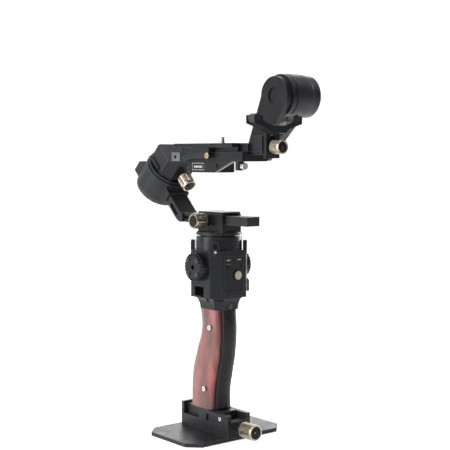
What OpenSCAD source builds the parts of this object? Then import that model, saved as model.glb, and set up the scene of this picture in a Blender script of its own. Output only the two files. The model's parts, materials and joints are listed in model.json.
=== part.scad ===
// One-handed three-axis camera gimbal on its quick-release base.
// Millimetres, +Z up. The origin is on the pan axis at the underside of the base plate,
// -Y is forward (the way the lens looks) and +X is the operator's left.

/* [Base] */
// Width of the base plate along X
base_w = 119; // [110:1:130]
// Front edge of the base plate, forward of the pan axis
base_front = 32; // [28:1:40]
// Rear edge of the base plate, behind the pan axis
base_rear = 47; // [46:1:60]
// Thickness of the base plate
base_t = 4; // [3:0.5:5]
// Corner chamfer of the base plate
base_corner = 12; // [6:1:18]
// Half width of the quick-release clamp, outside its walls
clamp_half = 14.4; // [14:0.2:15]
// Half width of the channel between the clamp's walls
channel_half = 9.6; // [9.4:0.2:10]
// Height of the clamp's walls above the floor
clamp_top = 25; // [24:0.5:26]

/* [Handle] */
// Height at which the grip starts
grip_z0 = 26.5; // [26:0.5:27]
// Height at which the grip meets the head
grip_z1 = 127; // [125:1:128]
// Full width of the grip, across both wooden panels
grip_w = 30; // [28:0.5:32]
// Half width of the flat front of the metal spine
spine_flat = 3; // [2:0.5:5]

/* [Head] */
// Half width of the head along X
head_half_x = 23.8; // [23:0.1:25]
// Half depth of the head along Y
head_half_y = 23.5; // [22.5:0.1:24]
// Corner chamfer of the head
head_corner = 8.5; // [6:0.5:9]
// Height of the head's top deck
head_top = 186; // [184:1:188]
// Height at which the head starts to taper into the neck
head_low = 139; // [137:1:141]
// Radius of the rosette discs
rosette_r = 14; // [12:0.5:15]

/* [Motors] */
// Radius of the pan motor
pan_r = 22.8; // [20:0.2:23]
// Radius of the roll motor
roll_r = 25; // [24:0.5:26]
// Radius of the tilt motor
tilt_r = 23; // [20:0.5:24]
// Running clearance between turning bodies
gap = 0.5; // [0.4:0.1:0.8]

/* [Arms] */
// Width of the pan arm bar
arm_w = 16; // [15:0.5:16]
// Height of the pan arm bar
arm_h = 9; // [8:0.5:9]
// Forward end of the pan arm
arm_front = 52; // [48:1:56]
// Distance of the roll arm's outer end from the pan axis
roll_arm_end = 118; // [114:1:122]

/* [Platform] */
// Half width of the platform rail
rail_half = 19; // [18:0.5:20]
// Forward end of the platform rail
rail_front = 58; // [57:0.5:60]
// Half width of the camera plate
plate_half = 25; // [24:0.5:26]
// Height of the camera plate's top face
plate_top = 290.4; // [290:0.1:291]
// Forward end of the camera plate
plate_front = 50; // [48:0.5:50]

/* [Hidden] */
$fn = 48;
fit = 0.05;
clear = 0.3;
// Roll axis: a point on it, and its tilt from vertical towards the front
roll_pos = [0, 81, 266.5];
roll_tilt = 45;
// Tilt axis, parallel to X
tilt_y = 0;
tilt_z = 340;
// Tripod threads in the base plate: place along Y and radius
tripod_threads = [[-8, 3.175], [12, 4.76], [32, 3.175]];
// Beam of the roll arm and its knob, measured along the roll axis
beam_low = 6;
beam_high = 21;
roll_knob_a = 9.2;
// Underside of the roll arm beside the roll clamp
beam_under = 272.5;
// Thickness and number of teeth of the rosette discs
rosette_t = 8.2;
rosette_teeth = 24;
// Offset of the rosette's screws from its centre
screw_place = 6.9;
// Socket and power button in the front of the head
usb_z = 171;
power_x = 4;
power_z = 161.5;
// End of the cheek where the pan arm meets the roll motor, in the roll frame
cheek_end = -roll_r - 7.4;
// Depth of the roll motor's housing behind the roll joint
roll_depth = 29;
// Half width of the pan arm's upward leg
leg_half = 10.7;
// Heights of the pan stage
pan_stator_top = 199;
pan_rotor_top = 203.6;
pan_box_top = 221.2;
pan_cap_top = 223.4;
arm_z = 211;
// Knob on the pan clamp
pan_knob_y = 1.5;
pan_knob_z = 214.7;
// Front and rear ends of the base clamp's walls, and the depth of its bolts
wall_front = -31;
wall_rear = 43.7;
clamp_bolt_depth = 4;
// Knob on the base clamp
base_knob_z = 11.6;
// Rail heights under the camera plate
rail_z0 = 273;
rail_z1 = 282;
// Side outline of the grip: height, front edge and rear edge, from the foot to the neck
grip_stations = [
    [grip_z0, -5, 31], [44, -5, 31], [57, -7.5, 30], [68, -10, 28], [79, -12.5, 24],
    [90, -14, 20], [101, -15, 15.5], [111, -15, 14], [119, -14.5, 15], [grip_z1, -14, 16.5]
];

// Rectangle with chamfered corners, centred
module chamfered(w, d, c)
    polygon([
        [-w / 2 + c, -d / 2], [w / 2 - c, -d / 2], [w / 2, -d / 2 + c], [w / 2, d / 2 - c],
        [w / 2 - c, d / 2], [-w / 2 + c, d / 2], [-w / 2, d / 2 - c], [-w / 2, -d / 2 + c]
    ]);

// Rectangle with round corners, centred
module rounded(w, d, r) {
    square([w - 2 * r, d], center = true);
    square([w, d - 2 * r], center = true);
    for (sx = [-1, 1], sy = [-1, 1])
        translate([sx * (w / 2 - r), sy * (d / 2 - r)])
            circle(r);
}

// Box from its low corner to its high corner
module block(low, high)
    translate(low)
        cube(high - low);

// Cylinder along Z between two heights
module disc(r, z0, z1)
    translate([0, 0, z0])
        cylinder(r = r, h = z1 - z0);

// Turned ring along Z between two heights
module ring(r_out, r_in, z0, z1)
    difference() {
        disc(r_out, z0, z1);
        disc(r_in, z0 - 1, z1 + 1);
    }

module along_front()
    rotate([90, 0, 0])
        children();

// Outline in the Y-Z plane, extruded along X from x0 to x1
module side_plate(x0, x1)
    translate([x0, 0, 0])
        rotate([90, 0, 90])
            linear_extrude(x1 - x0)
                children();

// Bar with round ends between two points of a plane, each end a half circle of short chords
module link(p, q, r) {
    chords = 16;
    heading = atan2(q[1] - p[1], q[0] - p[0]);
    polygon([for (end = [0, 1], i = [0:chords])
        let(t = heading - 90 + 180 * (1 - end) + 180 * i / chords)
        (end == 0 ? p : q) + r * [cos(t), sin(t)]]);
}

// Turned knob along +Z: waist, ribbed rim and recessed face
module knob(r, length, recess)
    difference() {
        union() {
            disc(r - 1.5, 0, 1.5);
            disc(r, 1.5, length);
        }
        disc(r - 1.7, length - recess, length + 1);
    }

// Roll frame: Z along the roll axis, Y towards the top rear, X unchanged
module roll_frame()
    translate(roll_pos)
        rotate([roll_tilt, 0, 0])
            children();

// ---- Base ----

module base_plate()
    color("#2b2c2f")
        difference() {
            translate([1, (base_rear - base_front) / 2, 0])
                linear_extrude(base_t)
                    chamfered(base_w, base_rear + base_front, base_corner);
            for (t = tripod_threads)
                translate([0, t[0], -1])
                    cylinder(r = t[1], h = base_t + 2);
        }

module base_pad()
    color("#161616")
        difference() {
            block([-8, -15, base_t], [8, 36, base_t + 0.8]);
            for (t = tripod_threads)
                translate([0, t[0], 0])
                    cylinder(r = t[1] + 0.5, h = 20);
        }

// One wall of the clamp: a notch open at the top and a window sunk in its outer face
module clamp_wall(side) {
    x_in = side * channel_half;
    x_out = side * clamp_half;
    difference() {
        block([min(x_in, x_out), wall_front, base_t], [max(x_in, x_out), wall_rear, clamp_top]);
        block([min(x_in, x_out) - 1, 15, 15], [max(x_in, x_out) + 1, wall_rear - 4, clamp_top + 1]);
        block([x_out - 2, -21, 14.5], [x_out + 2, 3, 22]);
    }
}

module base_clamp_body()
    color("#232427")
        difference() {
            union() {
                clamp_wall(-1);
                clamp_wall(1);
                block([-clamp_half, wall_rear - 4, base_t], [clamp_half, wall_rear, clamp_top + 2.5]);
                block([-channel_half, -31, base_t], [channel_half, -22, 18.5]);
            }
            translate([0, -40, base_knob_z])
                rotate([-90, 0, 0])
                    cylinder(r = 3 + fit, h = 30);
            for (side = [-1, 1])
                translate([side * clamp_half, -18, 19.6])
                    rotate([0, side * 90, 0])
                        disc(1.6, -clamp_bolt_depth - 0.5, 1);
        }

// Button-head bolt along +Z, its head resting on z = 0
module bolt(r, head_r, head_h, depth) {
    difference() {
        disc(head_r, 0, head_h);
        translate([0, 0, head_h - 0.9])
            cylinder(r = head_r * 0.45, h = 2, $fn = 6);
    }
    disc(r, -depth, 0);
}

module base_clamp_bolts()
    color("#c9c9c6")
        for (side = [-1, 1])
            translate([side * (clamp_half - 2), -18, 19.6])
                rotate([0, side * 90, 0])
                    bolt(1.5, 2.3, 1.6, clamp_bolt_depth - 2);

module base_clamp_pad()
    color("#b08d57")
        translate([0, -16.1, base_knob_z])
            along_front()
                disc(5, 0, 2.2);

module base_clamp_screw()
    color("#b8b6ae")
        translate([0, -21.4, base_knob_z])
            along_front()
                disc(3, 0, 19);

module base_clamp_knob()
    color("#8f8672")
        translate([0, -38, base_knob_z])
            along_front()
                difference() {
                    knob(7.8, 19, 1.5);
                    disc(3, -1, 2.4);
                }

// ---- Handle ----

// Stations along the grip, closer together than the driving ones, on a Catmull-Rom curve
grip_steps = 3;
function station(i) = grip_stations[min(max(i, 0), len(grip_stations) - 1)];
function curve_point(i, t) =
    let(a = station(i - 1), b = station(i), c = station(i + 1), d = station(i + 2))
    0.5 * (2 * b + (c - a) * t + (2 * a - 5 * b + 4 * c - d) * pow(t, 2)
           + (3 * b - a - 3 * c + d) * pow(t, 3));
grip_curve = [
    for (i = [0:len(grip_stations) - 2], k = [0:grip_steps - 1]) curve_point(i, k / grip_steps),
    station(len(grip_stations) - 1)
];
grip_last = len(grip_curve) - 1;

// Points round the outside of a panel's cross-section
panel_points = 13;

// Half of the grip's cross-section at one station, from the split plane outwards
function panel_ring(s, side, x_in) =
    let(y0 = s[1] + 0.9, y1 = s[2] - 1, mid = (y0 + y1) / 2, half = (y1 - y0) / 2, x_out = grip_w / 2)
    [for (i = [0:panel_points - 1])
        let(t = -90 + 180 * i / (panel_points - 1))
        [side * (x_in + (x_out - x_in) * pow(cos(t), 0.6)), mid + half * sin(t), s[0]]];

// Solid through a stack of rings that have the same number of points, seen turning the same way
module sweep(rings, flip) {
    n = len(rings[0]);
    last = len(rings) - 1;
    walls = [for (k = [0:last - 1], i = [0:n - 1])
        let(j = (i + 1) % n)
        [k * n + i, k * n + j, (k + 1) * n + j, (k + 1) * n + i]];
    ends = [[for (i = [n - 1:-1:0]) i], [for (i = [0:n - 1]) last * n + i]];
    faces = concat(walls, ends);
    flipped = [for (f = faces) [for (i = [len(f) - 1:-1:0]) f[i]]];
    polyhedron(points = [for (r = rings) each r], faces = flip ? flipped : faces);
}

// Wooden panel swept along the grip
module grip_panel(side)
    sweep([for (s = grip_curve) panel_ring(s, side, 8.7)], side > 0);

module grip_panel_right()
    color("#7a3226")
        grip_panel(-1);

module grip_panel_left()
    color("#7a3226")
        grip_panel(1);

// Half thickness of the metal spine
spine_half = 8.6;

// Cross-section of the metal spine at one station, standing out in front of and behind the panels
function spine_ring(s) =
    let(y_front = s[1] - 5.2, y_rear = s[2] + 1.8, y_slant = y_front + 2.4, y_bevel = y_rear - 0.6)
    [[-spine_flat, y_front, s[0]], [spine_flat, y_front, s[0]], [spine_half, y_slant, s[0]],
     [spine_half, y_bevel, s[0]], [spine_half - 2, y_rear, s[0]], [2 - spine_half, y_rear, s[0]],
     [-spine_half, y_bevel, s[0]], [-spine_half, y_slant, s[0]]];

module handle_frame()
    color("#1f2023")
        difference() {
            sweep([for (s = grip_curve) spine_ring(s)], true);
            block([-5.3, 1.5, 34], [5.3, 12.5, 120.5]);
        }

module grip_screws()
    color("#c8c8c4")
        for (side = [-1, 1], place = [[-4.2, 109], [4.5, 46.5]])
            translate([side * (grip_w / 2 - 0.1), place[0], place[1]])
                rotate([0, side * 90, 0])
                    difference() {
                        disc(2.5, 0.1, 1.5);
                        translate([0, 0, 0.7])
                            cylinder(r = 1.2, h = 2, $fn = 6);
                    }

module handle_foot()
    color("#26272a")
        difference() {
            union() {
                block([-9.3, -16, 5], [9.3, 39.4, 25.4]);
                translate([0, 13, 25.3])
                    linear_extrude(grip_z0 - 25.3)
                        rounded(grip_w - 1, 37, 7);
            }
            block([-6, 2, 12], [6, 24, 31]);
        }

module battery_cells()
    color("#3b5f8f")
        for (z = [50, 86])
            translate([0, 7, z])
                cylinder(r = 5, h = 33);

module control_board()
    color("#1d5c36")
        block([-12, -10, 148], [12, 10, 149.6]);

// ---- Head ----

// Outline of the head's plan
module head_plan(margin)
    chamfered(2 * (head_half_x - margin), 2 * (head_half_y - margin), head_corner);

// Ring of the neck at height z: an octagon that flares towards the head
function neck_ring(z) =
    let(
        t = min(1, (z - grip_z1) / (head_low - grip_z1)),
        flare = 1 - sqrt(1 - pow(t, 2)),
        w = grip_w / 2 + 0.4 + flare * (head_half_x - grip_w / 2 - 3.4),
        front = 19 + flare * (head_half_y - 20.5),
        rear = 17.8 + flare * (head_half_y - 18.8),
        c = head_corner - 1.5
    )
    [
        [-w + c, -front, z], [w - c, -front, z], [w, -front + c, z], [w, rear - c, z],
        [w - c, rear, z], [-w + c, rear, z], [-w, rear - c, z], [-w, -front + c, z]
    ];

// Neck under the head
module head_neck() {
    steps = 8;
    sweep([for (i = [0:steps]) neck_ring(grip_z1 + (head_low + 0.5 - grip_z1) * i / steps)], true);
}

// Half width and top of the head's corner posts
post_half = 3.8;
post_top = 195.3;

// Post on a corner of the head beside the pan motor; corner 0 is the front right one
module corner_post(corner)
    rotate(90 * corner)
        translate([head_corner / 2 - head_half_x, head_corner / 2 - head_half_x, 0])
            rotate(-45) {
                block([-post_half, -0.2, head_top - 4], [post_half, 3.6, post_top - post_half]);
                translate([0, 3.6, post_top - post_half])
                    rotate([90, 0, 0])
                        linear_extrude(3.8)
                            intersection() {
                                circle(post_half);
                                translate([-5, 0])
                                    square([10, 5]);
                            }
            }

module head_housing()
    color("#222326")
        difference() {
            union() {
                head_neck();
                translate([0, 0, head_low])
                    linear_extrude(head_top - head_low)
                        head_plan(0);
                for (corner = [0:3])
                    corner_post(corner);
            }
            // Cavity for the control board
            block([-15, -14, 144], [15, 14, head_top - 8]);
            // Seat of the pan motor
            disc(pan_r + 0.25, head_top - 3, head_top + 30);
            // Recess of the front panel
            block([-12.5, -30, 141], [12.5, 0.9 - head_half_y, 180]);
            // Openings behind the front panel for the button and the socket
            block([-9.6, -30, usb_z - 2], [-3.4, -17, usb_z + 2]);
            translate([power_x, -30, power_z])
                rotate([-90, 0, 0])
                    cylinder(r = 3.1, h = 14);
            // Side recess that runs down to the neck
            side_plate(-30, 3 - head_half_x)
                polygon([[9, 140.5], [9, 150], [-5.5, 150], [-5.5, 140.5]]);
            side_plate(-30, -16.2)
                polygon([[-5.5, 141], [-10.5, 129], [-5, 129], [-0.5, 140.6], [-0.5, 141]]);
            // Trigger pocket in the left flank
            block([head_half_x - 6, -16.5, 142], [30, -3.5, 158]);
            // Joystick well and mode button in the rear face
            translate([0, 30, 170])
                rotate([90, 0, 0])
                    cylinder(r = 7, h = 16);
            translate([0, 30, 152])
                rotate([90, 0, 0])
                    cylinder(r = 3.1, h = 14);
            // Neck button
            translate([-1, -30, 130.3])
                rotate([-90, 0, 0])
                    cylinder(r = 2.6, h = 15);
            // Slot of the pan lock on the front right corner
            translate([head_corner / 2 - head_half_x, head_corner / 2 - head_half_y, 0])
                rotate(-45)
                    block([-2.2, -4, 180.7], [2.2, 2.9, 193.6]);
        }

module front_panel()
    color("#1a1b1d")
        difference() {
            block([-12.4, -head_half_y, 141.1], [12.4, 0.9 - head_half_y, 179.9]);
            block([-9.6, -30, usb_z - 2], [-3.4, -17, usb_z + 2]);
            translate([power_x, -30, power_z])
                rotate([-90, 0, 0])
                    cylinder(r = 3.1, h = 14);
            translate([9, -30, usb_z])
                rotate([-90, 0, 0])
                    cylinder(r = 1.3, h = 14);
            for (x = [-10.5, 1])
                block([x, -30, 146.2], [x + 8.5, -17, 147.6]);
        }

// Rosette disc facing +Z: stepped rim, inner plate, mounting thread and four screw holes
module rosette()
    difference() {
        union() {
            disc(rosette_r, 0, 7);
            for (i = [0:rosette_teeth - 1])
                rotate(i * 360 / rosette_teeth)
                    block([rosette_r - 2.1, -0.5, 6], [rosette_r - 0.4, 0.5, rosette_t]);
            disc(rosette_r - 2.6, 6, rosette_t);
        }
        disc(2.5, 1, rosette_t + 1);
        for (sx = [-1, 1], sy = [-1, 1])
            translate([sx * screw_place, sy * screw_place, 0])
                disc(1.55, 2, 12);
    }

module rosette_right()
    color("#28292c")
        translate([-head_half_x, 1.5, 169.5])
            rotate([0, -90, 0])
                rosette();

module rosette_left()
    color("#28292c")
        translate([head_half_x, 1.5, 169.5])
            rotate([0, 90, 0])
                rosette();

module rosette_screws()
    color("#9a9a98")
        for (side = [-1, 1], sx = [-1, 1], sy = [-1, 1])
            translate([side * (head_half_x + 8.2), 1.5 + sy * screw_place, 169.5 + sx * screw_place])
                rotate([0, side * 90, 0])
                    bolt(1.5, 2.1, 1.1, 6);

module joystick_ring()
    color("#2f3033")
        translate([0, head_half_y - 7, 170])
            rotate([-90, 0, 0])
                difference() {
                    union() {
                        ring(5.2, 3.3, -1.5, 1.5);
                        for (side = [-1, 1])
                            rotate([0, side * 90, 0])
                                disc(0.9, 4.6, 6.5);
                    }
                    rotate([90, 0, 0])
                        disc(0.8 + fit, -8, 8);
                }

module joystick()
    color("#151515")
        translate([0, head_half_y - 7, 170])
            rotate([-90, 0, 0])
                union() {
                    disc(2.4, -2, 10.5);
                    rotate([90, 0, 0])
                        disc(0.8, -4.2, 4.2);
                    disc(4.6, 10.5, 12.6);
                    disc(3.6, 12.6, 13.4);
                }

module joystick_boot()
    color("#101010")
        translate([0, head_half_y, 170])
            rotate([-90, 0, 0])
                difference() {
                    union() {
                        disc(9.5, 0, 1.2);
                        disc(8.6, 1.2, 2);
                    }
                    disc(7.3, -1, 4);
                }

module trigger()
    color("#17181a")
        union() {
            translate([head_half_x - 1, -10, 155.5])
                rotate([90, 0, 0])
                    cylinder(r = 1.7, h = 12, center = true);
            block([head_half_x - 2.4, -15.8, 143.5], [head_half_x + 2.2, -4.2, 155]);
        }

// Round push button facing +Z with its stem behind it
module button(r, proud, stem)
    union() {
        disc(r, -1, proud);
        disc(r * 0.6, -stem, -1);
    }

module mode_button()
    color("#7d1f1c")
        translate([0, head_half_y, 152])
            rotate([-90, 0, 0])
                button(2.9, 1.4, 5);

module neck_button()
    color("#1b1b1d")
        translate([-1, -18.2, 130.3])
            rotate([90, 0, 0])
                button(2.45, 1.6, 1.8);

module power_button()
    color("#9c927c")
        translate([power_x, -head_half_y, power_z])
            rotate([90, 0, 0])
                union() {
                    button(2.9, 0.6, 4.5);
                    disc(4.3, 0.6, 1.9);
                }

module usb_socket()
    color("#8d8f92")
        difference() {
            block([-9.5, 1 - head_half_y, usb_z - 1.9], [-3.5, 6 - head_half_y, usb_z + 1.9]);
            block([-8.9, -30, usb_z - 1.3], [-4.1, 4.5 - head_half_y, usb_z + 1.3]);
        }

module pan_lock_latch()
    color("#303134")
        translate([head_corner / 2 - head_half_x, head_corner / 2 - head_half_y, 0])
            rotate(-45)
                difference() {
                    union() {
                        block([-1.9, -1.2, 181], [1.9, 2.6, 188.4]);
                        block([-1.9, -2.4, 182.5], [1.9, -1.2, 187.5]);
                    }
                    translate([0, -5, 185])
                        rotate([-90, 0, 0])
                            cylinder(r = 0.9, h = 10);
                }

// ---- Pan stage ----

module pan_motor_stator()
    color("#1c1d20")
        difference() {
            union() {
                disc(pan_r, head_top - 3, pan_stator_top);
                disc(pan_r - 4, pan_stator_top, pan_stator_top + 1);
            }
            disc(11.05, head_top + 2, pan_stator_top + 5);
            disc(4, head_top - 5, pan_stator_top + 5);
        }

module pan_bearing()
    color("#b5b5b2")
        ring(11, 6.5, head_top + 4, head_top + 10);

module pan_rotor()
    color("#2a2b2e")
        difference() {
            union() {
                disc(6.45, head_top + 3, pan_stator_top + 2);
                disc(pan_r, pan_stator_top + 1 + gap, pan_rotor_top - 0.8);
                disc(pan_r - 0.8, pan_rotor_top - 0.8, pan_rotor_top);
            }
            disc(2.5, head_top, pan_rotor_top + 1);
        }

module pan_clamp_body()
    color("#202124")
        difference() {
            union() {
                block([-12, -19.5, pan_rotor_top], [12, 18.6, pan_box_top]);
                translate([-12, pan_knob_y, pan_knob_z])
                    rotate([0, -90, 0])
                        disc(5.4, -1, 4.2);
            }
            // Channel for the pan arm
            block([-arm_w / 2 - clear, -40, arm_z - clear], [arm_w / 2 + clear, 40, pan_box_top + 1]);
            // Pocket of the pressure pad and thread of its screw
            translate([-arm_w / 2, pan_knob_y, pan_knob_z])
                rotate([0, -90, 0]) {
                    disc(3.4, 0, 3);
                    disc(2 + fit, 2, 12);
                }
            disc(2.5, pan_rotor_top - 1, arm_z);
        }

module pan_clamp_cap()
    color("#34363a")
        translate([0, -0.45, pan_box_top])
            linear_extrude(pan_cap_top - pan_box_top)
                chamfered(24, 38.1, 1);

module pan_clamp_pad()
    color("#b08d57")
        translate([-arm_w / 2 - 0.2, pan_knob_y, pan_knob_z])
            rotate([0, -90, 0])
                disc(3.1, 0, 1.6);

module pan_clamp_knob()
    color("#9b9077")
        translate([-17, pan_knob_y, pan_knob_z])
            rotate([0, -90, 0])
                union() {
                    knob(7.4, 14.5, 1.6);
                    disc(2, -5.8, 0.5);
                }

// Side outline of the pan arm's upward leg to the roll motor
module leg_outline()
    polygon([
        [47.2, arm_z], [51.8, arm_z], [55.4, 212.4], [59.4, 215.8], [80, 236.4], [72, 241.7],
        [52.3, 222], [49.6, arm_z + arm_h], [47.2, arm_z + arm_h]
    ]);

module pan_arm()
    color("#26272a")
        difference() {
            union() {
                block([-arm_w / 2, -arm_front, arm_z], [arm_w / 2, 47.5, arm_z + arm_h]);
                side_plate(-leg_half, leg_half)
                    leg_outline();
            }
            // Lightening pockets in both side faces
            for (side = [-1, 1]) {
                side_plate(side < 0 ? -20 : 5, side < 0 ? -5 : 20)
                    link([39, 215.6], [45, 215.6], 2.2);
                side_plate(side < 0 ? -20 : leg_half - 3, side < 0 ? 3 - leg_half : 20)
                    link([57, 219.6], [64.6, 227.2], 2.4);
            }
            // Slot along the top of the bar
            block([-2, -arm_front + 6, arm_z + arm_h - 1.2], [2, 34, arm_z + arm_h + 1]);
            // End face that meets the roll motor's cheek
            roll_frame()
                block([-20, cheek_end - fit, -40], [20, 20, 10]);
        }

// ---- Roll stage ----

module roll_motor_housing()
    color("#27282b")
        roll_frame()
            difference() {
                union() {
                    disc(roll_r, -roll_depth, -3.5);
                    // Cheek that the pan arm is bolted to
                    block([-13, -roll_r - 5, -25], [13, -14, -9]);
                    block([-leg_half, cheek_end, -20.6], [leg_half, -14, -11.2]);
                    // Cable lug on the upper rear
                    block([-20, 8, -roll_depth], [-4, 24.5, -16]);
                }
                disc(11.05, -16, 0);
                    disc(4, -roll_depth - 1, 0);
            }

module roll_motor_cover()
    color("#36383c")
        roll_frame()
            difference() {
                union() {
                    disc(roll_r - 0.6, -roll_depth - 4, -roll_depth);
                    disc(roll_r - 4, -roll_depth - 7, -roll_depth - 4);
                }
                // Cooling grooves across the cover
                for (i = [-3:3])
                    translate([i * 5.4, 0, -roll_depth - 7])
                        cube([1.8, 60, 2.4], center = true);
            }

module roll_bearing()
    color("#b5b5b2")
        roll_frame()
            ring(11, 6.5, -14, -8);

module roll_rotor()
    color("#1d1e21")
        roll_frame()
            union() {
                disc(6.45, -15, -2);
                disc(roll_r - 1, -3, 0);
            }

module roll_clamp_body()
    color("#232427")
        intersection() {
            roll_frame()
                difference() {
                    union() {
                        linear_extrude(22)
                            chamfered(40, 40, 9);
                        // Raised pad on the right flank
                        block([-22, -6, 3], [-19, 10, 15]);
                    }
                    // Channel for the roll arm
                    block([-30, -12 - clear, beam_low - clear], [30, 12 + clear, 23]);
                    // Pocket of the pressure pad and thread of its screw
                    translate([0, -12, roll_knob_a])
                        rotate([90, 0, 0]) {
                            disc(3.4, 0, 3);
                            disc(2 + fit, 2, 20);
                        }
                }
            // Flat top that clears the camera
            block([-40, 0, 200], [40, 160, 290.2]);
        }

module roll_clamp_pad()
    color("#b08d57")
        roll_frame()
            translate([0, -12.2, roll_knob_a])
                rotate([90, 0, 0])
                    disc(3.1, 0, 1.6);

module roll_clamp_knob()
    color("#9b9077")
        roll_frame()
            translate([0, -22.5, roll_knob_a])
                rotate([90, 0, 0])
                    union() {
                        knob(7.4, 14.5, 1.6);
                        disc(2, -7, 0.5);
                    }

module roll_arm()
    color("#26272a")
        difference() {
            union() {
                // Beam through the roll clamp
                roll_frame()
                    difference() {
                        block([-20, -12, beam_low], [roll_arm_end, 12, beam_high]);
                        for (y = [-12, 12])
                            block([24, y - 2, beam_low + 4], [roll_arm_end - 26, y + 2, beam_high - 4]);
                    }
                // Upright that carries the tilt motor
                side_plate(roll_arm_end - 10, roll_arm_end)
                    union() {
                        link([70.5, 277], [tilt_y + 14, 329], 13);
                        translate([tilt_y, tilt_z])
                            circle(tilt_r - 1);
                    }
            }
            // Flat underside beside the clamp
            block([24, 40, 250], [roll_arm_end + 1, 100, beam_under]);
            for (t = [0.25, 0.62])
                translate([roll_arm_end, 0, 0])
                    side_plate(-2, 2)
                        link([70.5 - 56 * t, 277 + 52 * t], [70.5 - 56 * (t + 0.2), 277 + 52 * (t + 0.2)], 6);
        }

// ---- Tilt stage ----

// Tilt frame: Z along the tilt axis, towards the operator's left
module tilt_frame()
    translate([0, tilt_y, tilt_z])
        rotate([0, 90, 0])
            children();

tilt_face = 80;
// Underside and top of the tilt bracket's leg
leg_z0 = 274;
leg_z1 = 281.8;

module tilt_motor_housing()
    color("#27282b")
        tilt_frame()
            difference() {
                disc(tilt_r, tilt_face + 6, roll_arm_end - 10);
                disc(11.05, tilt_face + 2, tilt_face + 18);
                disc(4, tilt_face, roll_arm_end);
            }

module tilt_bearing()
    color("#b5b5b2")
        tilt_frame()
            ring(11, 6.5, tilt_face + 10, tilt_face + 16);

module tilt_rotor()
    color("#1d1e21")
        tilt_frame()
            union() {
                disc(6.45, tilt_face + 4, tilt_face + 17);
                disc(tilt_r - 0.5, tilt_face, tilt_face + 5.5);
            }

module tilt_bracket()
    color("#26272a")
        difference() {
            union() {
                side_plate(tilt_face - 8, tilt_face)
                    union() {
                        translate([tilt_y, tilt_z])
                            circle(20);
                        polygon([[24, leg_z0], [38, leg_z0], [40, 292], [20, tilt_z], [-18, 331]]);
                    }
                // Leg that runs under the camera plate to the rail
                block([rail_half + fit, 24, leg_z0], [tilt_face - 8, 38, leg_z1]);
            }
            side_plate(tilt_face - 10, tilt_face - 6)
                translate([tilt_y, tilt_z])
                    circle(9);
            block([rail_half + 5, 27.5, leg_z1 - 2.5], [tilt_face - 12, 34.5, leg_z1 + 1]);
        }

// ---- Camera platform ----

lever_y = -13;
lever_z = 278.5;
boss_y = -50;
// Thickness of the rib under the rail
rib_t = 4;

module platform_rail()
    color("#222326")
        difference() {
            union() {
                // Rail with its lower left front corner cut back
                block([-rail_half, -rail_front, rail_z0], [rail_half, 38, rail_z1]);
                block([-8, 38, rail_z0], [rail_half, 52, rail_z1]);
                // Tapered rib under the front of the rail
                side_plate(-rail_half, rib_t - rail_half)
                    polygon([[-16.5, 262], [-44, rail_z0], [-16.5, rail_z0]]);
                // Box under the rear of the rail
                block([-rail_half, -16.5, 262], [6, 24, rail_z0]);
                // Clamping cheek beside the camera plate
                block([-rail_half - 6, -15, 281.3], [1 - rail_half, 22, 286]);
                // Boss that carries the rail screw
                translate([-15, boss_y, 264.5])
                    cylinder(r = 4.2, h = 10);
            }
            translate([rail_half, -80, rail_z0])
                rotate([-90, 0, 0])
                    linear_extrude(60)
                        polygon([[-8, 1], [1, 1], [1, -6], [0, -6]]);
            block([-15, -12.5, 261], [2, 20, 268.5]);
            // Groove for the keys of the camera plate and the lens carriage
            block([-9.4, -rail_front - 1, rail_z1 - 3], [9.4, 60, rail_z1 + 1]);
            // Label recess on the right flank and pocket in the rib
            block([-rail_half - 1, 0, 264], [0.8 - rail_half, 20, 271.5]);
            side_plate(-rail_half - 1, 1 - rail_half)
                polygon([[-19.5, 265.3], [-36, 271.3], [-19.5, 271.3]]);
            // Seat of the lever's pivot and thread of the rail screw
            translate([-rail_half, lever_y, lever_z])
                rotate([0, 90, 0])
                    cylinder(r = 2 + fit, h = 16, center = true);
            translate([-15, boss_y - 8, 268.5])
                rotate([-90, 0, 0])
                    cylinder(r = 1.5 + fit, h = 7);
        }

module rail_stop_block()
    color("#6c6f73")
        difference() {
            block([-rail_half - 1, 38, rail_z0], [-8, 52, 281.5]);
            block([-9.4, 30, rail_z1 - 3], [0, 60, rail_z1 + 1]);
            translate([-rail_half - 2, 46, 277.2])
                rotate([0, 90, 0])
                    cylinder(r = 1.9, h = 8);
        }

module lever_pivot()
    color("#b08d57")
        translate([-rail_half, lever_y, lever_z])
            rotate([0, -90, 0])
                union() {
                    disc(2, -6, 5.6);
                    disc(3, 5.6, 7.4);
                }

module platform_lever()
    color("#303236")
        difference() {
            side_plate(-rail_half - 5, -rail_half - 0.5)
                difference() {
                    union() {
                        link([lever_y, lever_z], [16, 278], 2.4);
                        link([16, 278], [27, 275.6], 2);
                    }
                    translate([lever_y, lever_z])
                        circle(2 + fit);
                }
        }

module camera_plate()
    color("#1f2022")
        difference() {
            union() {
                block([-plate_half, -plate_front, 286.5], [plate_half, 38, plate_top]);
                side_plate(-plate_half, plate_half)
                    polygon([[38, 286.5], [41, 288.4], [41, plate_top], [38, plate_top]]);
                block([-17.6, -plate_front, rail_z1 + clear], [17.6, 38, 286.5]);
                block([-9.1, -18, rail_z1 - 2.7], [9.1, 38, rail_z1 + clear]);
            }
            // Slot and head pocket of the camera screw
            block([-3.4, -32, 270], [3.4, 22, 300]);
            block([-7.2, -36, 270], [7.2, 26, 286]);
            // Grip grooves across the top
            for (y = [-47:4:-37])
                block([-20, y, plate_top - 0.6], [20, y + 1.2, plate_top + 1]);
        }

module camera_screw()
    color("#c4c4c0")
        translate([0, -5, 0])
            difference() {
                union() {
                    disc(6.4, 283, 285.7);
                    disc(2.9, 285, plate_top + 0.3);
                    disc(3.175, plate_top + 0.3, 296.6);
                }
                translate([0, 0, 282])
                    cylinder(r = 2.3, h = 2.4, $fn = 6);
            }

// ---- Lens support ----

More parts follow.
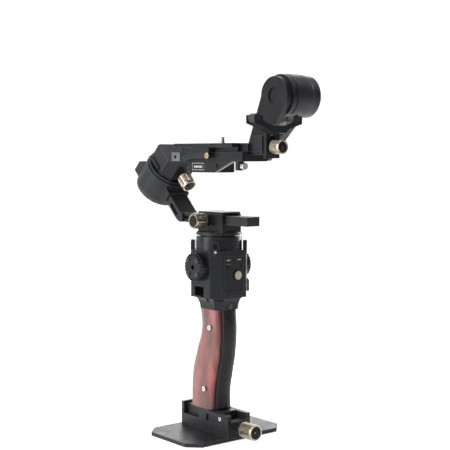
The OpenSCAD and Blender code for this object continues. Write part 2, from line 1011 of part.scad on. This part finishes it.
post_face = -76;
roller_x = 24.3;
roller_z = 312.5;
support_knob_z = 286.5;

module lens_carriage()
    color("#232427")
        difference() {
            union() {
                // Head block in front of the camera plate, and its stop against the plate's end
                block([-10, post_face, 282], [10, -60, 297]);
                block([-14, -60, rail_z1 + clear], [14, -plate_front - clear, 290]);
                // Tongue in the rail's groove
                block([-9.1, post_face, rail_z1 - 2.7], [9.1, -plate_front - clear, rail_z1 + clear]);
                block([-9.1, -52, rail_z1 - 2.7], [9.1, -34, rail_z1 - 0.2]);
            }
            translate([0, -90, support_knob_z])
                rotate([-90, 0, 0])
                    cylinder(r = 2.5 + fit, h = 26);
        }

module lens_carriage_knob()
    color("#9b9077")
        translate([0, post_face - 4.2, support_knob_z])
            along_front()
                union() {
                    knob(6.7, 14, 1.5);
                    disc(2.5, -14, 0.5);
                }

module lens_post()
    color("#2b2c30")
        difference() {
            union() {
                block([-8.4, post_face - 4, 276], [8.4, post_face - 0.2, 306]);
                // Forked saddle
                translate([0, post_face - 0.2, 0])
                    along_front()
                        linear_extrude(12)
                            polygon([
                                [-9, 299.2], [9, 299.2], [13, 303], [29.5, 308], [29.5, 315.5],
                                [19, 315.5], [19, 311], [8, 306.3], [-8, 306.3], [-19, 311],
                                [-19, 315.5], [-29.5, 315.5], [-29.5, 308], [-13, 303]
                            ]);
            }
            // Slot for the knob's screw
            block([-2.8, -100, 278.6], [2.8, -70, 298]);
            // Pockets and pins' bores of the rollers
            for (x = [-roller_x, roller_x]) {
                block([x - 5.3, -86.6, roller_z - 5.3], [x + 5.3, -77.8, 320]);
                translate([x, -100, roller_z])
                    rotate([-90, 0, 0])
                        cylinder(r = 1.5 + fit, h = 40);
            }
        }

// Roller with its own pin, along Y
module saddle_roller(x)
    translate([x, 0, roller_z])
        along_front() {
            disc(4.6, 78.1, 86.3);
            disc(1.5, 76.5, 88);
        }

module lens_rollers_right()
    color("#151515")
        saddle_roller(-roller_x);

module lens_rollers_left()
    color("#151515")
        saddle_roller(roller_x);

module rail_screw()
    color("#d0d0cc")
        translate([-15, boss_y - 4.5, 268.5])
            along_front()
                union() {
                    disc(3.5, 0, 3.6);
                    disc(1.5, -3, 0.5);
                }

base_plate();
base_pad();
base_clamp_body();
base_clamp_bolts();
base_clamp_pad();
base_clamp_screw();
base_clamp_knob();
handle_foot();
handle_frame();
grip_panel_right();
grip_panel_left();
grip_screws();
battery_cells();
control_board();
head_housing();
front_panel();
rosette_right();
rosette_left();
rosette_screws();
joystick();
joystick_ring();
joystick_boot();
trigger();
mode_button();
neck_button();
power_button();
usb_socket();
pan_lock_latch();
pan_motor_stator();
pan_bearing();
pan_rotor();
pan_clamp_body();
pan_clamp_cap();
pan_clamp_pad();
pan_clamp_knob();
pan_arm();
roll_motor_housing();
roll_motor_cover();
roll_bearing();
roll_rotor();
roll_clamp_body();
roll_clamp_pad();
roll_clamp_knob();
roll_arm();
tilt_motor_housing();
tilt_bearing();
tilt_rotor();
tilt_bracket();
platform_rail();
rail_stop_block();
lever_pivot();
platform_lever();
camera_plate();
camera_screw();
lens_carriage();
lens_carriage_knob();
lens_post();
lens_rollers_right();
lens_rollers_left();
rail_screw();
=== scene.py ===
"""A three-axis camera gimbal: materials, edges and fine pieces around its CAD frame."""

import json
import math

import bmesh
import bpy
from mathutils import Euler, Matrix, Vector


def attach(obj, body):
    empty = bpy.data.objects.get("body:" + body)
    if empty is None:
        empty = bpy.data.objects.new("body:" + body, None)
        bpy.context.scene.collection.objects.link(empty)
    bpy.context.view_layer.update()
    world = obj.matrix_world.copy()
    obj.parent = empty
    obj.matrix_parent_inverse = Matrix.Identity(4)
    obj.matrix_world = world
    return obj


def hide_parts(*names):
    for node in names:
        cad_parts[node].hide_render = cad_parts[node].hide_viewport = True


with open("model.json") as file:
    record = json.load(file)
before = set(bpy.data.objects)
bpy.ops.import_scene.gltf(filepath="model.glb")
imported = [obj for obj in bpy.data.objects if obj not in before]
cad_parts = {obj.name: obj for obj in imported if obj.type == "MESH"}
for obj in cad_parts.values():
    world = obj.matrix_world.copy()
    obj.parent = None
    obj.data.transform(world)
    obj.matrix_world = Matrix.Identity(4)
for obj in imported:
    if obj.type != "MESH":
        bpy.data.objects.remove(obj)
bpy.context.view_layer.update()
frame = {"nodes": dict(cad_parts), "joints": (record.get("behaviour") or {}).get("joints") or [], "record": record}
NODES = frame["nodes"]
MM = 0.001

# ---------------------------------------------------------------- camera

AZIMUTH = math.radians(-39.0)
PITCH_DOWN = math.radians(3.83)
CAMERA_PLACE = (-0.6562, -0.8197, 0.280)
LENS_MM = 84.8
SENSOR_MM = 36.0


def add_camera():
    """The camera looks at the object from its right front, a little above the grip."""
    data = bpy.data.cameras.new("camera")
    data.lens = LENS_MM
    data.sensor_width = SENSOR_MM
    data.clip_start = 0.01
    camera = bpy.data.objects.new("camera", data)
    camera.location = CAMERA_PLACE
    camera.rotation_euler = Euler((math.pi / 2 - PITCH_DOWN, 0.0, AZIMUTH))
    bpy.context.scene.collection.objects.link(camera)
    bpy.context.scene.camera = camera


# ---------------------------------------------------------------- node helpers

# Radius over which an edge counts as worn, in metres
WORN_EDGE = 0.6 * MM
# Depth of a metal's, a plastic's or the wood's fine texture, in metres
GRAIN_DEPTH = 0.2 * MM
# Depth of the lines left by turning or brushing, in metres
LINE_DEPTH = 0.1 * MM


class Graph:
    """A small builder for one material's nodes."""

    def __init__(self, name):
        self.material = bpy.data.materials.new(name)
        self.material.use_nodes = True
        self.tree = self.material.node_tree
        self.tree.nodes.clear()
        self.out = self.add("ShaderNodeOutputMaterial")
        self.bsdf = self.add("ShaderNodeBsdfPrincipled")
        self.link(self.bsdf.outputs[0], self.out.inputs[0])
        self.coords = self.add("ShaderNodeTexCoord").outputs["Object"]

    def add(self, kind, **settings):
        node = self.tree.nodes.new(kind)
        for key, value in settings.items():
            setattr(node, key, value)
        return node

    def link(self, source, target):
        self.tree.links.new(source, target)

    def mapped(self, scale):
        mapping = self.add("ShaderNodeMapping")
        mapping.inputs["Scale"].default_value = scale
        self.link(self.coords, mapping.inputs["Vector"])
        return mapping.outputs[0]

    def noise(self, scale, detail, stretch=(1, 1, 1)):
        node = self.add("ShaderNodeTexNoise")
        node.inputs["Scale"].default_value = scale
        node.inputs["Detail"].default_value = detail
        node.inputs["Roughness"].default_value = 0.55
        self.link(self.mapped(stretch), node.inputs["Vector"])
        return node.outputs["Fac"]

    def ramp(self, value, stops):
        node = self.add("ShaderNodeValToRGB")
        elements = node.color_ramp.elements
        while len(elements) < len(stops):
            elements.new(0.5)
        for element, (place, colour) in zip(elements, stops):
            element.position = place
            element.color = (*colour, 1.0)
        self.link(value, node.inputs[0])
        return node.outputs["Color"]

    def range(self, value, low, high, to_low, to_high):
        node = self.add("ShaderNodeMapRange")
        for slot, number in zip(("From Min", "From Max", "To Min", "To Max"), (low, high, to_low, to_high)):
            node.inputs[slot].default_value = number
        self.link(value, node.inputs["Value"])
        return node.outputs[0]

    def math(self, kind, a, b):
        node = self.add("ShaderNodeMath", operation=kind)
        for slot, value in enumerate((a, b)):
            if isinstance(value, (int, float)):
                node.inputs[slot].default_value = value
            else:
                self.link(value, node.inputs[slot])
        return node.outputs[0]

    def mix(self, factor, a, b):
        node = self.add("ShaderNodeMix", data_type="RGBA")
        self.link(factor, node.inputs["Factor"])
        for slot, value in ((6, a), (7, b)):
            if isinstance(value, tuple):
                node.inputs[slot].default_value = (*value, 1.0)
            else:
                self.link(value, node.inputs[slot])
        return node.outputs[2]

    def edges(self, radius):
        """Fraction that is 1 on sharp edges and 0 on flat faces."""
        bevel = self.add("ShaderNodeBevel", samples=4)
        bevel.inputs["Radius"].default_value = radius
        normal = self.add("ShaderNodeNewGeometry").outputs["Normal"]
        dot = self.add("ShaderNodeVectorMath", operation="DOT_PRODUCT")
        self.link(bevel.outputs[0], dot.inputs[0])
        self.link(normal, dot.inputs[1])
        return self.range(dot.outputs["Value"], 0.995, 0.90, 0.0, 1.0)

    def bump(self, height, strength, distance):
        node = self.add("ShaderNodeBump")
        node.inputs["Strength"].default_value = strength
        node.inputs["Distance"].default_value = distance
        self.link(height, node.inputs["Height"])
        self.link(node.outputs[0], self.bsdf.inputs["Normal"])

    def colour(self, source):
        self.link(source, self.bsdf.inputs["Base Color"])

    def set(self, **values):
        for key, value in values.items():
            self.bsdf.inputs[key.replace("_", " ")].default_value = value


# ---------------------------------------------------------------- materials


def scaled(colour, factor):
    return tuple(factor * channel for channel in colour)


def anodised(name, base, worn, metallic=0.12, rough=(0.30, 0.46), specular=0.18):
    """Bead-blasted anodised metal, a little lighter where its edges have rubbed."""
    g = Graph(name)
    patches = g.noise(38.0, 4.0)
    speckle = g.noise(2600.0, 2.0)
    tone = g.mix(g.range(patches, 0.3, 0.7, 0.0, 1.0), scaled(base, 0.82), scaled(base, 1.18))
    rubbed = g.range(g.noise(420.0, 3.0), 0.35, 0.65, 0.25, 0.55)
    edge = g.math("MULTIPLY", g.edges(WORN_EDGE), rubbed)
    g.colour(g.mix(edge, tone, worn))
    g.link(g.range(g.noise(90.0, 5.0), 0.3, 0.7, *rough), g.bsdf.inputs["Roughness"])
    g.bump(speckle, 0.10, GRAIN_DEPTH)
    g.set(Metallic=metallic, Specular_IOR_Level=specular)
    return g.material


def brushed(name, base, rough=(0.20, 0.34)):
    """Turned or brushed bare metal with fine lines and a soft stain."""
    g = Graph(name)
    lines = g.noise(900.0, 3.0)
    stain = g.noise(60.0, 4.0)
    g.colour(g.mix(g.range(stain, 0.3, 0.7, 0.0, 1.0), scaled(base, 0.78), base))
    g.link(g.range(lines, 0.3, 0.7, *rough), g.bsdf.inputs["Roughness"])
    g.bump(lines, 0.12, LINE_DEPTH)
    g.set(Metallic=1.0)
    return g.material


def rosewood(name):
    """Oiled rosewood: red ground, darker figure along the grip and short open pores."""
    g = Graph(name)
    figure = g.noise(75.0, 6.0, (1.0, 1.0, 0.30))
    bands = g.noise(240.0, 3.0, (1.0, 1.0, 0.07))
    pores = g.noise(900.0, 2.0, (1.0, 1.0, 0.10))
    ground = g.ramp(figure, [
        (0.34, (0.030, 0.007, 0.006)), (0.48, (0.140, 0.024, 0.018)), (0.66, (0.29, 0.058, 0.044)),
    ])
    banded = g.mix(g.range(bands, 0.42, 0.62, 0.0, 0.55), ground, (0.10, 0.028, 0.022))
    pore_mask = g.range(pores, 0.60, 0.70, 0.0, 0.85)
    g.colour(g.mix(pore_mask, banded, (0.028, 0.010, 0.009)))
    g.link(g.range(bands, 0.3, 0.7, 0.30, 0.46), g.bsdf.inputs["Roughness"])
    height = g.math("SUBTRACT", g.math("MULTIPLY", bands, 0.5), pore_mask)
    g.bump(height, 0.35, GRAIN_DEPTH)
    g.set(Metallic=0.0, Coat_Weight=0.4, Coat_Roughness=0.20)
    return g.material


def moulded(name, base, rough=(0.42, 0.58), grain=0.14):
    """Moulded plastic or rubber with a fine texture."""
    g = Graph(name)
    patches = g.noise(55.0, 4.0)
    g.colour(g.mix(g.range(patches, 0.3, 0.7, 0.0, 1.0), scaled(base, 0.8), scaled(base, 1.2)))
    g.link(g.range(g.noise(140.0, 4.0), 0.3, 0.7, *rough), g.bsdf.inputs["Roughness"])
    g.bump(g.noise(1800.0, 2.0), grain, GRAIN_DEPTH)
    return g.material


MATERIALS = {
    "black_metal": anodised("black_anodised", (0.012, 0.0125, 0.014), (0.13, 0.13, 0.14)),
    "dark_metal": anodised("dark_anodised", (0.019, 0.0195, 0.022), (0.18, 0.18, 0.19)),
    "soft_grey": anodised(
        "soft_grey_anodised", (0.040, 0.041, 0.044), (0.22, 0.22, 0.23), 0.25),
    "satin_black": anodised(
        "satin_black", (0.014, 0.0145, 0.016), (0.13, 0.13, 0.14), 0.3, (0.24, 0.36)),
    "grey_metal": anodised("grey_blasted", (0.13, 0.135, 0.14), (0.34, 0.34, 0.35), metallic=0.7),
    "bronze": brushed("champagne_bronze", (0.40, 0.345, 0.26), rough=(0.24, 0.38)),
    "brass": brushed("brass", (0.62, 0.46, 0.24)),
    "steel": brushed("steel", (0.66, 0.66, 0.65)),
    "rosewood": rosewood("rosewood"),
    "rubber": moulded("rubber", (0.020, 0.020, 0.021), rough=(0.62, 0.80), grain=0.3),
    "black_plastic": moulded("black_plastic", (0.022, 0.022, 0.025)),
    "red_plastic": moulded("red_plastic", (0.32, 0.025, 0.022), rough=(0.22, 0.34), grain=0.05),
    "cell_wrap": moulded("cell_wrap", (0.04, 0.11, 0.26), rough=(0.25, 0.35), grain=0.04),
    "board": moulded("circuit_board", (0.02, 0.11, 0.04), rough=(0.35, 0.5)),
    "recess": anodised("recess_black", (0.010, 0.010, 0.012), (0.05, 0.05, 0.055), rough=(0.35, 0.5)),
    # Flat black with almost no reflection: painted shade for the deep recess in the head's right side
    "painted_shade_black": anodised(
        "painted_shade_black", (0.001, 0.001, 0.001), (0.001, 0.001, 0.001), rough=(0.8, 0.95), specular=0.02),
    "mark": moulded("grey_print", (0.42, 0.42, 0.43), grain=0.02),
}
SLOT_OF = {row["node"]: row["material_slot"] for row in frame["record"]["subparts"]}
# Nodes whose finish differs from their slot's
FINISH = {
    "roll_motor_cover": "soft_grey", "pan_clamp_cap": "black_metal", "platform_rail": "black_metal",
    "rosette_right": "satin_black", "rosette_left": "satin_black", "rosette_screws": "soft_grey",
    "handle_frame": "satin_black", "head_housing": "satin_black", "front_panel": "satin_black",
    "pan_motor_stator": "satin_black",
}


# ---------------------------------------------------------------- CAD nodes

BEVEL_MM = {
    "base_plate": 0.6, "base_clamp_body": 0.7, "head_housing": 0.9, "handle_frame": 1.1,
    "pan_arm": 0.9, "roll_arm": 1.2, "tilt_bracket": 1.0, "camera_plate": 0.6,
    "platform_rail": 0.5, "roll_clamp_body": 1.0, "roll_motor_housing": 1.0, "pan_clamp_body": 0.7,
    "lens_post": 0.7, "lens_carriage": 0.6, "tilt_motor_housing": 1.0, "roll_motor_cover": 0.8,
}
DEFAULT_BEVEL_MM = 0.3
SMOOTH_ONLY = ("grip_panel_right", "grip_panel_left")
# An edge that turns by more than this is rounded
SHARP = math.radians(28.0)
# An edge that turns by more than this is shaded as an edge
CRISP = math.radians(34.0)
# Vertices closer than this are one, in metres
WELD = 0.02 * MM


def soften(piece, bevel_mm):
    """Joins a mesh's faces, rounds its sharp edges and shades what is round as round."""
    for polygon in piece.data.polygons:
        polygon.use_smooth = True
    weld = piece.modifiers.new("weld", "WELD")
    weld.merge_threshold = WELD
    if bevel_mm:
        clean = piece.modifiers.new("clean", "DECIMATE")
        clean.decimate_type = "DISSOLVE"
        clean.angle_limit = math.radians(0.6)
        bevel = piece.modifiers.new("bevel", "BEVEL")
        bevel.width = bevel_mm * MM
        bevel.segments = 2
        bevel.limit_method = "ANGLE"
        bevel.angle_limit = SHARP
    split = piece.modifiers.new("split", "EDGE_SPLIT")
    split.split_angle = CRISP
    piece.modifiers.new("normals", "WEIGHTED_NORMAL")


def finish_node(name):
    """Gives a CAD node its material and its rounded edges."""
    node = NODES[name]
    node.data.materials.clear()
    node.data.materials.append(MATERIALS[FINISH.get(name, SLOT_OF[name])])
    soften(node, 0 if name in SMOOTH_ONLY else BEVEL_MM.get(name, DEFAULT_BEVEL_MM))


def finish_nodes():
    for name in NODES:
        if name not in KNOB_NODES:
            finish_node(name)


# ---------------------------------------------------------------- turned pieces

# Chamfered lip, wall and recess of a knob's open end, and the depth of its flutes, in mm
LIP, WALL, RECESS = 0.9, 1.6, 1.5
FLUTE_DEPTH = 0.55


def ring_radius(kind, radius, angle, flutes):
    """Distance from the axis of one point of a turned ring."""
    if kind == "flute":
        return radius - FLUTE_DEPTH * max(0.0, math.cos(flutes * angle)) ** 3
    if kind == "hex":
        return radius / math.cos((angle + math.pi / 6) % (math.pi / 3) - math.pi / 6)
    return radius


def turned(name, profile, material, flutes=0, segments=72):
    """A closed turned solid along +Z. The profile is a list of (radius, height, kind) in mm."""
    maker = bmesh.new()
    rings = []
    for radius, height, kind in profile:
        ring = []
        for k in range(segments):
            angle = 2 * math.pi * k / segments
            r = ring_radius(kind, radius, angle, flutes)
            ring.append(maker.verts.new(MM * Vector((r * math.cos(angle), r * math.sin(angle), height))))
        rings.append(ring)
    for low, high in zip(rings, rings[1:]):
        for k in range(segments):
            j = (k + 1) % segments
            maker.faces.new((low[k], low[j], high[j], high[k]))
    maker.faces.new(list(reversed(rings[0])))
    maker.faces.new(rings[-1])
    bmesh.ops.recalc_face_normals(maker, faces=maker.faces)
    mesh = bpy.data.meshes.new(name)
    maker.to_mesh(mesh)
    maker.free()
    mesh.materials.append(material)
    piece = bpy.data.objects.new(name, mesh)
    bpy.context.scene.collection.objects.link(piece)
    return piece


def place_along(piece, place, axis):
    """Moves a turned piece's mesh so that its +Z lies along axis from place."""
    turn = Vector(axis).to_track_quat("Z", "Y").to_matrix().to_4x4()
    piece.data.transform(Matrix.Translation(Vector(place)) @ turn)


# Knob joints: node, radius, length, number of flutes, screw radius and how far the screw reaches back.
# All lengths of turned pieces are in mm.
KNOBS = {
    "base_knob_turn": ("base_clamp_knob", 7.8, 19.0, 40, 0.0, 0.0),
    "pan_knob_turn": ("pan_clamp_knob", 7.4, 14.5, 22, 2.0, 5.8),
    "roll_knob_turn": ("roll_clamp_knob", 7.4, 14.5, 22, 2.0, 7.0),
    "lens_knob_turn": ("lens_carriage_knob", 6.7, 14.0, 22, 2.5, 14.0),
}
KNOB_NODES = [row[0] for row in KNOBS.values()]
JOINTS = {joint["name"]: joint for joint in frame["joints"]}


def knob_profile(r, length, screw_r, reach):
    """Screw, waist, ribbed rim with chamfered ends and recessed face."""
    profile = [(screw_r, -reach, "round"), (screw_r, 0.0, "round")] if reach else []
    waist = r - 1.5
    ribs_end = length - LIP
    profile += [
        (waist - 0.5, 0.0, "round"), (waist, 0.4, "round"), (waist, 1.5, "round"), (r - 0.5, 1.6, "round"),
        (r - 0.05, 2.1, "round"), (r - 0.05, 2.5, "flute"), (r, 2.8, "flute"),
        (r, ribs_end - 1.6, "flute"), (r - 0.05, ribs_end - 1.3, "flute"),
        (r - 0.02, ribs_end - 1.1, "round"), (r, ribs_end, "round"), (r - 0.45, length, "round"),
        (r - WALL + 0.3, length, "round"), (r - WALL, length - 0.3, "round"),
        (r - WALL, length - RECESS, "round"),
    ]
    return profile


def face_profile(r, z):
    """Raised black face at height z with a socket screw in its middle."""
    return [
        (r - 1.7, z - 0.1, "round"), (r - 1.7, z + 0.35, "round"), (r - 2.0, z + 0.5, "round"),
        (3.4, z + 0.5, "round"), (3.3, z + 0.1, "round"), (2.9, z + 0.1, "round"),
        (2.8, z + 1.0, "round"), (2.5, z + 1.2, "round"), (1.35, z + 1.2, "hex"), (1.3, z - 0.05, "hex"),
    ]


def add_knob(joint_name):
    """A bronze knob with a black face and a socket screw in it."""
    node, r, length, flutes, screw_r, reach = KNOBS[joint_name]
    joint = JOINTS[joint_name]
    knob = turned(
        node + "_ribbed", knob_profile(r, length, screw_r, reach), MATERIALS["bronze"], flutes, flutes * 8)
    face = turned(node + "_face", face_profile(r, length - RECESS), MATERIALS["recess"])
    for piece in (knob, face):
        place_along(piece, joint["pos_m"], joint["axis"])
        soften(piece, 0)
        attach(piece, joint["child"])
    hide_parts(node)


def add_knobs():
    for joint_name in KNOBS:
        add_knob(joint_name)


# ---------------------------------------------------------------- printed marks and small trim

# In mm: the front panel's plane, the label recess's plane and the latch's outer face
FRONT_Y = -23.5
LABEL_X = -18.2
LOCK_PLACE = (-20.9, -20.6, 185.0)
# Floor of the recess in the head's right side
PORT_X = -20.8


def bar(name, low, high, material, body, slot):
    """A block between two corners, in mm of the rest pose, that rides with a body."""
    mesh = bpy.data.meshes.new(name)
    maker = bmesh.new()
    bmesh.ops.create_cube(maker, size=1.0)
    size = [(b - a) * MM for a, b in zip(low, high)]
    middle = [(a + b) / 2 * MM for a, b in zip(low, high)]
    for vert in maker.verts:
        vert.co = Vector([c * s + m for c, s, m in zip(vert.co, size, middle)])
    maker.to_mesh(mesh)
    maker.free()
    mesh.materials.append(MATERIALS[material])
    piece = bpy.data.objects.new(name, mesh)
    bpy.context.scene.collection.objects.link(piece)
    soften(piece, 0)
    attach(piece, body)


def add_lock_screw():
    """Bright screw head on the face of the pan lock latch."""
    screw = turned("pan_lock_screw", [
        (0.8, -1.0, "round"), (0.8, 0.0, "round"), (1.35, 0.0, "round"), (1.35, 0.5, "round"),
        (1.1, 0.8, "round"), (0.7, 0.8, "hex"), (0.65, 0.3, "hex"),
    ], MATERIALS["steel"])
    place_along(screw, tuple(v * MM for v in LOCK_PLACE), (-1.0, -1.0, 0.0))
    soften(screw, 0)
    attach(screw, "pan_lock")


def add_port_shade_sheet():
    """Near-black sheet on the floor of the recess in the head's right side: painted shade that makes the recess
    look deep.
    """
    low, high = (PORT_X - 0.15, -5.3, 140.8), (PORT_X + 0.05, 8.8, 149.8)
    bar("port_shade_sheet", low, high, "painted_shade_black", "base", "rubber")


def add_panel_marks():
    """Generic symbols in place of the printing beside the socket and the button."""
    rows = [
        ("socket_mark_bar", (-9.0, 176.3), (-5.6, 177.1)),
        ("socket_mark_dot", (-4.9, 176.3), (-4.1, 177.1)),
        ("button_mark_bar", (5.6, 176.3), (8.8, 177.1)),
        ("button_mark_dot", (4.1, 176.3), (4.9, 177.1)),
    ]
    for name, (x0, z0), (x1, z1) in rows:
        bar(name, (x0, FRONT_Y - 0.06, z0), (x1, FRONT_Y + 0.2, z1), "mark", "base", "steel")


def add_label():
    """Black plate with a pale rim and plain bars in the rail's side recess."""
    y0, y1, z0, z1 = 0.4, 19.6, 264.4, 271.1
    plate = (LABEL_X - 0.15, y0, z0), (LABEL_X + 0.1, y1, z1)
    bar("label_plate", *plate, "recess", "tilt_stage", "black_metal")
    rim = 0.35
    edges = [
        ("low", (y0, z0), (y1, z0 + rim)), ("high", (y0, z1 - rim), (y1, z1)),
        ("front", (y0, z0), (y0 + rim, z1)), ("rear", (y1 - rim, z0), (y1, z1)),
    ]
    for name, (a, b), (c, d) in edges:
        bar("label_rim_" + name, (LABEL_X - 0.3, a, b), (LABEL_X, c, d), "mark", "tilt_stage", "steel")
    place = y0 + 3.2
    for k, width in enumerate((1.2, 2.4, 1.2, 3.0, 1.8)):
        low, high = (LABEL_X - 0.22, place, 266.7), (LABEL_X, place + width, 268.6)
        bar(f"label_bar_{k}", low, high, "mark", "tilt_stage", "steel")
        place += width + 0.8


# ---------------------------------------------------------------- studio


def add_floor(material):
    """A pale seamless floor that bends up into a backdrop behind the object."""
    reach, height, start, bend, steps = 6.0, 3.0, 1.6, 0.8, 8
    profile = [(-reach, 0.0), (start, 0.0)]
    for k in range(1, steps + 1):
        turn = k * math.pi / (2 * steps)
        profile.append((start + bend * math.sin(turn), bend * (1 - math.cos(turn))))
    profile.append((start + bend, height))
    maker = bmesh.new()
    rows = [[maker.verts.new((x, y, z)) for y, z in profile] for x in (-reach, reach)]
    for k in range(len(profile) - 1):
        face = maker.faces.new((rows[0][k], rows[1][k], rows[1][k + 1], rows[0][k + 1]))
        face.smooth = True
    mesh = bpy.data.meshes.new("floor")
    maker.to_mesh(mesh)
    maker.free()
    floor = bpy.data.objects.new("floor", mesh)
    floor.rotation_euler = (0.0, 0.0, AZIMUTH)
    mesh.materials.append(material)
    bpy.context.scene.collection.objects.link(floor)


def floor_material():
    g = Graph("floor_paper")
    g.colour(g.ramp(g.noise(3.0, 2.0), [(0.0, (0.88, 0.88, 0.88)), (1.0, (0.92, 0.92, 0.92))]))
    g.set(Roughness=0.75)
    g.bsdf.inputs["Emission Color"].default_value = (1.0, 1.0, 1.0, 1.0)
    g.bsdf.inputs["Emission Strength"].default_value = 0.25
    return g.material


LIGHTS_AIM = (0.0, 0.0, 0.18)


def area_light(name, place, size, power):
    """A soft box aimed at the middle of the object."""
    data = bpy.data.lights.new(name, "AREA")
    data.shape = "RECTANGLE"
    data.size, data.size_y = size
    data.energy = power
    lamp = bpy.data.objects.new(name, data)
    lamp.location = place
    lamp.rotation_euler = (Vector(LIGHTS_AIM) - Vector(place)).to_track_quat("-Z", "Y").to_euler()
    bpy.context.scene.collection.objects.link(lamp)


def shade_world(tree):
    """Pale surroundings with a dark flag in front, on the object's left side."""
    background = tree.nodes["Background"]
    background.inputs["Color"].default_value = (1.0, 1.0, 1.0, 1.0)
    coordinates = tree.nodes.new("ShaderNodeTexCoord")
    facing = tree.nodes.new("ShaderNodeVectorMath")
    facing.operation = "DOT_PRODUCT"
    facing.inputs[1].default_value = (0.63, -0.78, 0.0)
    strength = tree.nodes.new("ShaderNodeMapRange")
    strength.interpolation_type = "SMOOTHSTEP"
    for socket, value in (("From Min", 0.25), ("From Max", 0.85), ("To Min", 0.62), ("To Max", 0.12)):
        strength.inputs[socket].default_value = value
    # Seen directly, the surroundings are as pale as the backdrop on every side
    rays = tree.nodes.new("ShaderNodeLightPath")
    seen = tree.nodes.new("ShaderNodeMath")
    seen.operation = "MAXIMUM"
    tree.links.new(coordinates.outputs["Generated"], facing.inputs[0])
    tree.links.new(facing.outputs["Value"], strength.inputs["Value"])
    tree.links.new(strength.outputs["Result"], seen.inputs[0])
    tree.links.new(rays.outputs["Is Camera Ray"], seen.inputs[1])
    tree.links.new(seen.outputs["Value"], background.inputs["Strength"])


def add_lights():
    """Soft boxes on both sides and above, and a pale world."""
    area_light("key_left", (-1.25, 0.35, 0.60), (0.7, 1.3), 22.0)
    area_light("rim_right", (1.25, 0.05, 0.42), (0.30, 1.2), 20.0)
    area_light("top", (0.1, 0.3, 1.5), (1.4, 1.2), 15.0)
    area_light("back", (0.9, 1.2, 0.8), (1.0, 1.2), 8.0)
    world = bpy.data.worlds.new("studio")
    world.use_nodes = True
    shade_world(world.node_tree)
    bpy.context.scene.world = world
    bpy.context.scene.view_settings.view_transform = "Standard"
    bpy.context.scene.view_settings.exposure = 0.0


add_camera()
finish_nodes()
add_knobs()
add_lock_screw()
add_port_shade_sheet()
add_panel_marks()
add_label()
add_floor(floor_material())
add_lights()
